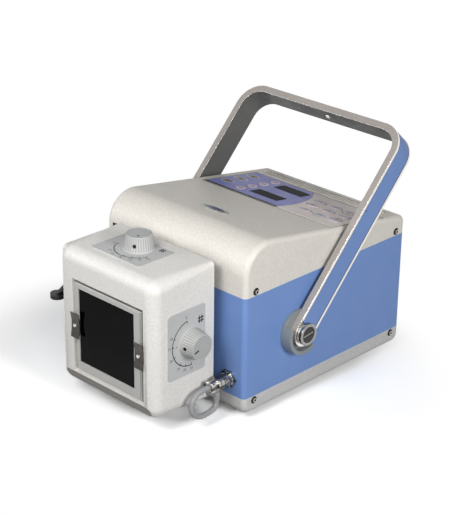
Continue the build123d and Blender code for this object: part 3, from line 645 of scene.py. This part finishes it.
knobSettings = {
    "baseRadius": 16.9,
    "topRadius": 14.0,
    "height": 17.3,
    "dot": ((0.0, 0.3), (1.68, 0.24), (2.1, 0.0)),
    "dotLift": 0.15,
    "dashWidth": 1.9,
    "flutes": 36,
    "fluteEnds": (1.6, 16.6),
    "fluteWidth": 1.0,
    "top": {"dotAngle": -61, "dotHeight": 8.0, "dashAngle": -49, "dash": (6.6, 9.8)},
    "side": {"dotAngle": 180, "dotHeight": 7.4, "dashAngle": 199, "dash": (5.4, 11.6)},
}
knobTaper = knobSettings["baseRadius"] - knobSettings["topRadius"]
knobLean = math.atan2(knobTaper, knobSettings["height"])


def onCone(place, degrees, height, lift):
    # A place on a knob's side, with X down the slope and Z outwards
    radius = knobSettings["baseRadius"] - height * math.tan(knobLean) + lift
    around = Matrix.Rotation(math.radians(degrees), 4, "Z")
    return place @ around @ shift(radius, 0, height) @ Matrix.Rotation(math.pi / 2 - knobLean, 4, "Y")


def knobFlutes(pieceName, place):
    # The solids' flutes are too shallow to show, so slightly darker strips lie on the cone as painted shade
    # for the flutes
    common = knobSettings
    low, high = common["fluteEnds"]
    half = (high - low) / 2 / math.cos(knobLean)
    parts = []
    for index in range(common["flutes"]):
        onSide = onCone(place, 360 * (index + 0.5) / common["flutes"], (low + high) / 2, inkLift)
        parts.append((levelBar(-half, half, 0, common["fluteWidth"]), onSide))
    placedPiece(pieceName, "knobGroovePaintedShade", parts)


def knobMarks(pieceName, place, knob):
    common = knobSettings
    onSide = onCone(place, knob["dotAngle"], knob["dotHeight"], common["dotLift"])
    dashTurn = Matrix.Rotation(math.radians(knob["dashAngle"]), 4, "Z")
    onCap = place @ shift(0, 0, common["height"] + inkLift) @ dashTurn
    dash = levelBar(*knob["dash"], 0, common["dashWidth"])
    placedPiece(pieceName, "inkDark", [(turned(common["dot"], 20), onSide), (dash, onCap)])


knobFlutes("topKnobFlutes", topKnobPlace)
knobFlutes("sideKnobFlutes", sideKnobPlace)
knobMarks("topKnobMarks", topKnobPlace, knobSettings["top"])
knobMarks("sideKnobMarks", sideKnobPlace, knobSettings["side"])
print("dials printed")


# Operator's panel

panelSettings = {
    "left": -92.0,
    "front": 137.9,
    "rear": 226.2,
    "stripeRear": 141.4,
    "stripeEnd": 21.0,
    "arcCentre": (-72.1, 163.4),
    "arcRadius": 95.9,
    "lineWidth": 0.8,
    "lineBox": (-93.3, 137.3, 103.3, 227.4),
    "lineDrop": 0.12,
    "shadowWidth": 1.7,
    "shadowDrop": 0.08,
}
panelMiddle, panelNormal = largestFace("control_panel", (0, 0, 1))
keyMiddle = largestFace("panel_keys", (0, 0, 1))[0]
keyLift = (keyMiddle - panelMiddle).dot(panelNormal) / mm


def onSlope(middle, normal, lift):
    # From X and Y seen from above to the sloped face, a little above it
    fall = -normal.y / normal.z
    height = middle.z - fall * (middle.y - bodyFront) + lift * mm
    return Matrix(((1, 0, 0, 0), (0, 1, 0, bodyFront), (0, fall, 1, height), (0, 0, 0, 1)))


def onPanel(lift):
    return onSlope(panelMiddle, panelNormal, lift)


def panelPrint(settings):
    # The blue field with its curved right edge, the black stripe in front of it and its shadow,
    # and the line round the panel
    cx, cy = settings["arcCentre"]
    radius = settings["arcRadius"]
    left, end = settings["left"], settings["stripeEnd"]
    front, rear = settings["stripeRear"], settings["rear"]
    low = math.degrees(math.asin((front - cy) / radius))
    high = math.degrees(math.asin((rear - cy) / radius))
    blue = arc(radius, low, high, 32, (cx, cy)) + [(left, rear), (left, front)]
    placedPiece("panelBlueField", "panelBlue", [(outline(blue), onPanel(inkLift))])
    stripe = levelBar(left, end, (settings["front"] + front) / 2, front - settings["front"])
    x0, y0, x1, y1 = settings["lineBox"]
    wide = settings["lineWidth"]
    outer = [(x0 - wide, y0 - wide), (x1 + wide, y0 - wide), (x1 + wide, y1 + wide), (x0 - wide, y1 + wide)]
    inner = [(x0, y0), (x1, y0), (x1, y1), (x0, y1)]
    shadow = levelBar(left, end, y0 - settings["shadowWidth"] / 2, settings["shadowWidth"])
    placedPiece("panelEdgeLines", "panelBlack", [
        (stripe, onPanel(2 * inkLift)),
        (outline(outer, inner), onPanel(-settings["lineDrop"])),
        (shadow, onPanel(-settings["shadowDrop"])),
    ])


keySettings = {
    "lensKeys": (
        (44.2, 162.6), (65.4, 161.0), (86.2, 166.6), (34.4, 184.9), (60.1, 184.2),
        (31.5, 202.5), (54.2, 203.8), (76.2, 198.4), (92.0, 186.0),
    ),
    "lensSize": (19.0, 10.5),
    "lensInside": (15.8, 8.3),
    "lensMarks": ((2.5, -0.8), (1.6, 1.2)),  # half length, and distance behind the key's middle
    "markWidth": 0.7,
    "greenKey": (65.4, 161.0),
    "greenSize": (13.5, 7.1),
    "roundKeys": (-50.0, (155.0, 174.7, 194.4, 214.0)),
    "keyArc": {"radius": 7.1, "start": 200, "end": 380, "width": 1.1},
    "keyOval": (5.0, 4.4, 0.8),  # width, height and line
    "legend": (9.6, 12.4, -0.9),  # from, to, and distance behind the key's middle
    "lamps": (-79.8, (164.0, 185.7, 207.0)),
    "lampOval": (21.0, 13.0, 2.4),
    "lampMark": (2.4, 2.6),  # half length, and width
    "dashRows": (151.0, 191.5),
    "dashStarts": (-37.0, -30.0, -23.0, -9.0, -2.0),
    "dash": (2.6, 0.8),
}


def lensKeyPrint(settings, film, keyTop):
    lines, marks = [], []
    for x, y in settings["lensKeys"]:
        ring = outline(lens(*settings["lensSize"], (x, y)), lens(*settings["lensInside"], (x, y)))
        lines.append((ring, film))
        for half, behind in settings["lensMarks"]:
            marks.append((levelBar(x - half, x + half, y + behind, settings["markWidth"]), keyTop))
    return lines, marks


def panelKeyPrint(settings):
    film = onPanel(2 * inkLift)
    keyTop = onPanel(keyLift + inkLift)
    lines, marks = lensKeyPrint(settings, film, keyTop)
    pales = []
    x, rows = settings["roundKeys"]
    start, end, behind = settings["legend"]
    for y in rows:
        lines.append((arcStroke(**settings["keyArc"], steps=20, centre=(x, y)), film))
        marks.append((ringStroke(*settings["keyOval"], (x, y)), keyTop))
        pales.append((levelBar(x + start, x + end, y + behind, settings["markWidth"]), film))
    x, rows = settings["lamps"]
    half, width = settings["lampMark"]
    for y in rows:
        pales.append((ringStroke(*settings["lampOval"], (x, y)), film))
        marks.append((levelBar(x - half, x + half, y, width), keyTop))
    length, width = settings["dash"]
    for y in settings["dashRows"]:
        for x in settings["dashStarts"]:
            pales.append((levelBar(x, x + length, y, width), film))
    placedPiece("panelKeyLines", "keyShade", lines)
    placedPiece("panelKeyMarks", "panelBlack", marks)
    placedPiece("panelLegends", "plateGrey", pales)
    green = outline(lens(*settings["greenSize"], settings["greenKey"]))
    placedPiece("panelGreenKey", "keyGreen", [(green, keyTop)])


panelPrint(panelSettings)
panelKeyPrint(keySettings)


# Badge and the small mark on the cover

badgeSettings = {
    "length": 33.5,
    "width": 9.2,
    "centre": (-1.2, 62.6),
    "mark": ((-98.2, 159.3), (-90.2, 164.2), (-98.2, 163.8)),
}


def badgeFace(settings):
    middle, normal = largestFace("cover_badge", (0, 0, 1))
    face = outline(lens(settings["length"], settings["width"], settings["centre"]))
    placedPiece("badgeFace", "badgeBlue", [(face, onSlope(middle, normal, inkLift))])
    coverFront = axes(machinePoint(0, -inkLift, 0), (1, 0, 0), (0, 0, 1))
    placedPiece("coverMark", "inkDark", [(outline(settings["mark"]), coverFront)])


badgeFace(badgeSettings)
print("panel printed")


# Screws of the cover and the tray, with a bright metal ring on each head as a painted highlight

screwSettings = {
    "profile": (
        (0.0, 0.7), (1.3, 0.7), (1.5, 1.75), (2.3, 1.55), (3.1, 1.0),
        (3.6, 0.25), (3.65, 0.2), (4.2, 0.2), (4.35, 0.0),
    ),
    "glint": ((1.5, 1.8), (2.0, 1.74), (2.3, 1.6)),
    "rows": (143.1, 14.3),
    "along": (15.8, 246.7),
}


def sideScrews(settings):
    heads, glints = [], []
    for side in (-1, 1):
        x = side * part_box("middle_band")[1].x / mm
        for up in settings["rows"]:
            for y in settings["along"]:
                place = axes(machinePoint(x, y, up), (0, side, 0), (0, 0, 1))
                heads.append((turned(settings["profile"], 24), place))
                glints.append((turned(settings["glint"], 16), place))
    placedPiece("sideScrewPaintedHighlights", "brightMetal", glints, sharpDegrees=50)
    placedPiece("sideScrews", "screwDark", heads, sharpDegrees=50)


sideScrews(screwSettings)


# Strips behind the panel: painted shade on the grooves' floors, the lands between them in a dark
# grey-brown, and a painted highlight line in front

grooveSettings = {
    "grooveFloors": {
        "finish": "grooveFloorPaintedShade", "drop": 1.13, "half": 91.6,
        "rows": ((234.5, 2.6), (239.5, 2.6), (244.5, 2.6)),
    },
    "grooveLands": {
        "finish": "ribLand", "drop": 0.1, "half": 91.6,
        "rows": ((237.0, 2.0), (242.0, 2.0), (247.3, 2.4)),
    },
    "grooveGlint": {"finish": "paintedHighlightWhite", "drop": 0.1, "half": 101.0, "rows": ((230.6, 1.6),)},
}


def grooveStrips(pieceName, settings):
    place = onPanel(-settings["drop"])
    half = settings["half"]
    strips = [(levelBar(-half, half, y, width), place) for y, width in settings["rows"]]
    placedPiece(pieceName, settings["finish"], strips)


for pieceName, settings in grooveSettings.items():
    grooveStrips(pieceName, settings)


# Painted shadow: dark lines on the window frame beside the recess's upper and right walls

windowLineSettings = {"width": 1.7, "stepDrop": 1.4, "lift": 0.05}


def windowPaintedShadowLines(settings):
    low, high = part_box("window_frame")
    wide = settings["width"]
    left, right, bottom, top = low.x / mm, high.x / mm, low.z / mm, high.z / mm
    place = axes((0, low.y + (settings["stepDrop"] - settings["lift"]) * mm, 0), (1, 0, 0), (0, 0, 1))
    column = right - wide / 2
    placedPiece("windowPaintedShadowLines", "windowPaintedShadowGrey", [
        (levelBar(left, right, top - wide / 2, wide), place),
        (bar((column, bottom), (column, top - wide), wide), place),
    ])


windowPaintedShadowLines(windowLineSettings)


# Bright screw heads of the filter clips

clipSettings = {
    "sink": 0.1,
    "head": ((0.0, 0.09), (1.92, 0.09), (2.4, -0.6), (2.4, -1.4)),
}


def clipHeads(settings):
    heads = []
    for nodeName in ("filter_clip_left", "filter_clip_right"):
        low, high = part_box(nodeName)
        middle = Vector(((low.x + high.x) / 2, low.y + settings["sink"] * mm, (low.z + high.z) / 2))
        heads.append((turned(settings["head"], 20), axes(middle, (1, 0, 0), (0, 0, 1))))
    placedPiece("clipHeads", "brightMetal", heads, sharpDegrees=50)


clipHeads(clipSettings)


# Rings of the plug and screws of its clamp

plugSettings = {
    "middle": (85.5, 38.2),
    "rings": (12.2, 17.8),
    "ring": ((7.3, -0.45), (7.62, -0.45), (7.62, 0.45), (7.3, 0.45)),
    "clampScrews": (-3.6, 3.6),
    "screwReach": 29.6,
    "clampTop": 4.5,
    "screw": ((0.0, 0.25), (0.5, 0.25), (0.6, 0.75), (1.3, 0.7), (1.6, 0.4), (1.65, 0.0)),
}


def plugRings(settings):
    x, z = settings["middle"]
    rings = []
    for reach in settings["rings"]:
        rings.append((turned(settings["ring"], 36), axes(machinePoint(x, -reach, z), (1, 0, 0), (0, 0, 1))))
    placedPiece("plugRings", "capBlack", rings)
    heads = []
    for across in settings["clampScrews"]:
        point = machinePoint(x + across, -settings["screwReach"], z + settings["clampTop"])
        heads.append((turned(settings["screw"], 16), axes(point, (1, 0, 0), (0, 1, 0))))
    placedPiece("clampScrews", "brightMetal", heads, sharpDegrees=50)


plugRings(plugSettings)


# Painted highlight on the floor of the slot in each pivot cap

slotSettings = {"turn": 7.0, "depth": 0.8, "length": 15.4, "width": 1.3}


def slotFloors(settings):
    parts = []
    half = settings["length"] / 2
    turn = math.radians(settings["turn"])
    for side, nodeName in ((-1, "left_pivot_cap"), (1, "right_pivot_cap")):
        low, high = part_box(nodeName)
        face = high.x if side > 0 else low.x
        floor = face - side * (settings["depth"] - inkLift) * mm
        middle = Vector((floor, (low.y + high.y) / 2, (low.z + high.z) / 2))
        across = (0, side * math.cos(turn), side * math.sin(turn))
        place = axes(middle, across, (0, -math.sin(turn), math.cos(turn)))
        parts.append((levelBar(-half, half, 0, settings["width"]), place))
    placedPiece("capSlotFloors", "slotPaintedHighlight", parts)


slotFloors(slotSettings)


# Rear plate: corner screws and the switch's marks

rearSettings = {
    "middle": (0.0, 65.0),
    "screws": ((-54, -17), (54, -17), (-54, 17), (54, 17)),
    "screw": ((0.0, 0.3), (0.9, 0.3), (1.0, 0.9), (2.0, 0.8), (2.4, 0.4), (2.5, 0.0)),
    "marks": (("I", -15.5), ("O", 15.5)),
    "markSize": 5.0,
}


def rearFittings(settings):
    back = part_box("rear_connector_plate")[1].y
    x, z = settings["middle"]
    place = axes((x * mm, back, trayFloor + z * mm), (-1, 0, 0), (0, 0, 1))
    heads = [(turned(settings["screw"], 20), place @ shift(*at)) for at in settings["screws"]]
    placedPiece("rearScrews", "screwDark", heads, sharpDegrees=50)
    marks = []
    for mark, across in settings["marks"]:
        marks.append((words(mark, settings["markSize"]), place @ shift(across, 0, inkLift)))
    placedPiece("switchMarks", "inkDark", marks)


rearFittings(rearSettings)
print("screws set")


# Carry handle: frame, painted strip with its edge lines and notch, and the crossbar's screw

handleSettings = {
    "width": 31.0,
    "rimRound": 1.3,
    "inlayWidth": 24.5,
    "edgeLine": 0.8,
    "bendReach": 140.0,
    "frameTurn": 0.5,
    "inlayTurn": 0.3,
    "notchReach": 150.0,
    "notch": ((-3.2, 0.2), (0.6, -3.4)),
    "notchWidth": 0.9,
    "hub": (80.2, 76.8),
    "lean": 46.9,
    "screw": ((0.0, 0.2), (1.0, 0.2), (1.2, 0.9), (2.0, 1.1), (2.8, 0.9), (3.1, 0.4), (3.2, 0.0)),
}


def handleAxes(settings):
    # Directions along the arms and across their edges, and the hub's place
    lean = math.radians(settings["lean"])
    along = Vector((0, math.cos(lean), math.sin(lean)))
    across = Vector((0, -math.sin(lean), math.cos(lean)))
    return along, across, machinePoint(0, *settings["hub"])


def outwardness(face, along, hub, bendReach):
    # 1 for a face that looks away from the loop, -1 for one that looks into it
    place = face.calc_center_median() - hub
    outward = Vector((place.x, 0, 0)) + along * max(0.0, place.dot(along) - bendReach * mm)
    return face.normal.dot(outward.normalized())


def dressFrame(settings):
    # Rounded rims and outer faces in a bright metal copy, a painted highlight; satin edges; and a darker
    # copy inside the loop, painted shade
    along, across, hub = handleAxes(settings)
    bm = mergedCopy("handle_frame")
    half = settings["width"] / 2 * mm
    rims = []
    for edge in sharpEdges(bm):
        if all(abs(abs((vert.co - hub).dot(across)) - half) < 0.1 * mm for vert in edge.verts):
            rims.append(edge)
    rounded = roundEdges(bm, rims, settings["rimRound"], 3)
    for face in bm.faces:
        turn = outwardness(face, along, hub, settings["bendReach"])
        if abs(turn) > settings["frameTurn"]:
            face.material_index = 1 if turn < 0 else 2
        else:
            face.material_index = 0
    for face in rounded:
        face.material_index = 2
    piece = finishPiece(
        bm, "handleFrameSkin", "handleMetal handleInner handleRim", "handle", ["handle_frame"]
    )
    weightNormals(piece)


def dressInlay(settings):
    # The painted strip, with a dark line along its edges
    bm = mergedCopy("handle_inlay")
    along, across, hub = handleAxes(settings)
    wide = []
    for face in bm.faces:
        if outwardness(face, along, hub, settings["bendReach"]) > settings["inlayTurn"]:
            wide.append(face)
    bmesh.ops.inset_region(bm, faces=wide, thickness=settings["edgeLine"] * mm, use_even_offset=True)
    kept = set(wide)
    for face in bm.faces:
        face.material_index = 0 if face in kept else 1
    finishPiece(bm, "handleInlaySkin", "inlayBlue inlayEdge", "handle", ["handle_inlay"])


def handleNotch(settings):
    # A short dark cut at the edge of the strip
    along, across, hub = handleAxes(settings)
    hub.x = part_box("handle_inlay")[1].x
    place = axes(hub, along, across) @ shift(settings["notchReach"], settings["inlayWidth"] / 2, inkLift)
    cut = bar(*settings["notch"], settings["notchWidth"])
    placedPiece("handleNotch", "inlayEdge", [(cut, place)], "handle")


def crossbarScrew(settings):
    inward = -handleAxes(settings)[0]
    middle = largestFace("handle_frame", inward)[0]
    place = axes((0, middle.y, middle.z), (1, 0, 0), inward.cross(Vector((1, 0, 0))))
    placedPiece("crossbarScrew", "brightMetal", [(turned(settings["screw"], 24), place)], "handle", 50)


dressFrame(handleSettings)
dressInlay(handleSettings)
handleNotch(handleSettings)
crossbarScrew(handleSettings)
print("handle dressed")


# Studio

studioSettings = {
    "skyLight": 0.01,
    "floorHalf": 6,
    "floorShade": (96, 96, 96),  # what the floor sends back on to the object
    "floorGain": 1.5,  # so that the lit floor shows white, and only the shadow is darker
    "fadeFrom": 0.19,
    "fadeTo": 0.32,
    "fadeMiddle": (-0.02, -0.06),
}
lampAim = (0.0, 0.0, 0.1)
lamps = {
    "keyLamp": {"place": (0.14, -0.7, 0.66), "size": 0.35, "power": 3.3},
    "leftLamp": {"place": (-0.9, -0.9, 0.6), "size": 0.6, "power": 5.2},
    "rightLamp": {"place": (0.9, -0.9, 0.6), "size": 0.6, "power": 4.4},
    "sideLamp": {"place": (1.3, -0.2, 0.6), "size": 0.4, "power": 9.7},
}


def areaLamp(name, lamp):
    data = bpy.data.lights.new(name, "AREA")
    data.shape = "SQUARE"
    data.size = lamp["size"]
    data.energy = lamp["power"]
    light = bpy.data.objects.new(name, data)
    light.location = lamp["place"]
    light.rotation_mode = "QUATERNION"
    light.rotation_quaternion = (Vector(lampAim) - Vector(lamp["place"])).to_track_quat("-Z", "Y")
    scene.collection.objects.link(light)


def mixShaders(tree, factor, first, second):
    mix = addNode(tree, "ShaderNodeMixShader")
    tree.links.new(factor, mix.inputs["Fac"])
    tree.links.new(first, mix.inputs[1])
    tree.links.new(second, mix.inputs[2])
    return mix.outputs["Shader"]


def seenRays(tree):
    # 1 where the camera, a reflection or a clear piece sees the surroundings, 0 for plain light
    rays = addNode(tree, "ShaderNodeLightPath")
    seen = rays.outputs["Is Camera Ray"]
    for kind in ("Is Glossy Ray", "Is Transmission Ray"):
        either = addNode(tree, "ShaderNodeMath", operation="MAXIMUM")
        tree.links.new(seen, either.inputs[0])
        tree.links.new(rays.outputs[kind], either.inputs[1])
        seen = either.outputs[0]
    return seen


def makeSky(settings):
    # White to the camera and in reflections, and dim as a light
    world = bpy.data.worlds.new("paleSky")
    scene.world = world
    world.use_nodes = True
    tree = world.node_tree
    dim = tree.nodes["Background"]
    dim.inputs["Color"].default_value = (1, 1, 1, 1)
    dim.inputs["Strength"].default_value = settings["skyLight"]
    plain = addNode(tree, "ShaderNodeBackground", {"Color": (1, 1, 1, 1), "Strength": 1.0})
    seen = mixShaders(tree, seenRays(tree), dim.outputs[0], plain.outputs[0])
    tree.links.new(seen, tree.nodes["World Output"].inputs["Surface"])


def makeFloor(settings):
    # To the camera and in reflections the floor is white, with the object's shadow where it is near
    bm = bmesh.new()
    bmesh.ops.create_grid(bm, x_segments=1, y_segments=1, size=settings["floorHalf"])
    mesh = bpy.data.meshes.new("studioFloor")
    bm.to_mesh(mesh)
    bm.free()
    floor = bpy.data.objects.new("studioFloor", mesh)
    scene.collection.objects.link(floor)
    material = bpy.data.materials.new("studioFloor")
    material.use_nodes = True
    tree = material.node_tree
    tree.nodes.remove(tree.nodes["Principled BSDF"])
    gain = settings["floorGain"]
    dull = addNode(tree, "ShaderNodeBsdfDiffuse", {"Color": linear(settings["floorShade"])})
    bright = addNode(tree, "ShaderNodeBsdfDiffuse", {"Color": (gain, gain, gain, 1.0)})
    glow = addNode(tree, "ShaderNodeEmission", {"Color": (1, 1, 1, 1), "Strength": 1.0})
    place = addNode(tree, "ShaderNodeTexCoord")
    away = addNode(tree, "ShaderNodeVectorMath", operation="DISTANCE")
    away.inputs[1].default_value = (*settings["fadeMiddle"], 0)
    tree.links.new(place.outputs["Object"], away.inputs[0])
    fade = addNode(tree, "ShaderNodeMapRange", interpolation_type="SMOOTHSTEP")
    fade.inputs["From Min"].default_value = settings["fadeFrom"]
    fade.inputs["From Max"].default_value = settings["fadeTo"]
    tree.links.new(away.outputs["Value"], fade.inputs["Value"])
    near = mixShaders(tree, fade.outputs["Result"], bright.outputs[0], glow.outputs[0])
    seen = mixShaders(tree, seenRays(tree), dull.outputs[0], near)
    tree.links.new(seen, tree.nodes["Material Output"].inputs["Surface"])
    mesh.materials.append(material)


makeSky(studioSettings)
makeFloor(studioSettings)
for lampName, lamp in lamps.items():
    areaLamp(lampName, lamp)
scene.view_settings.view_transform = "Standard"
print("studio ready")
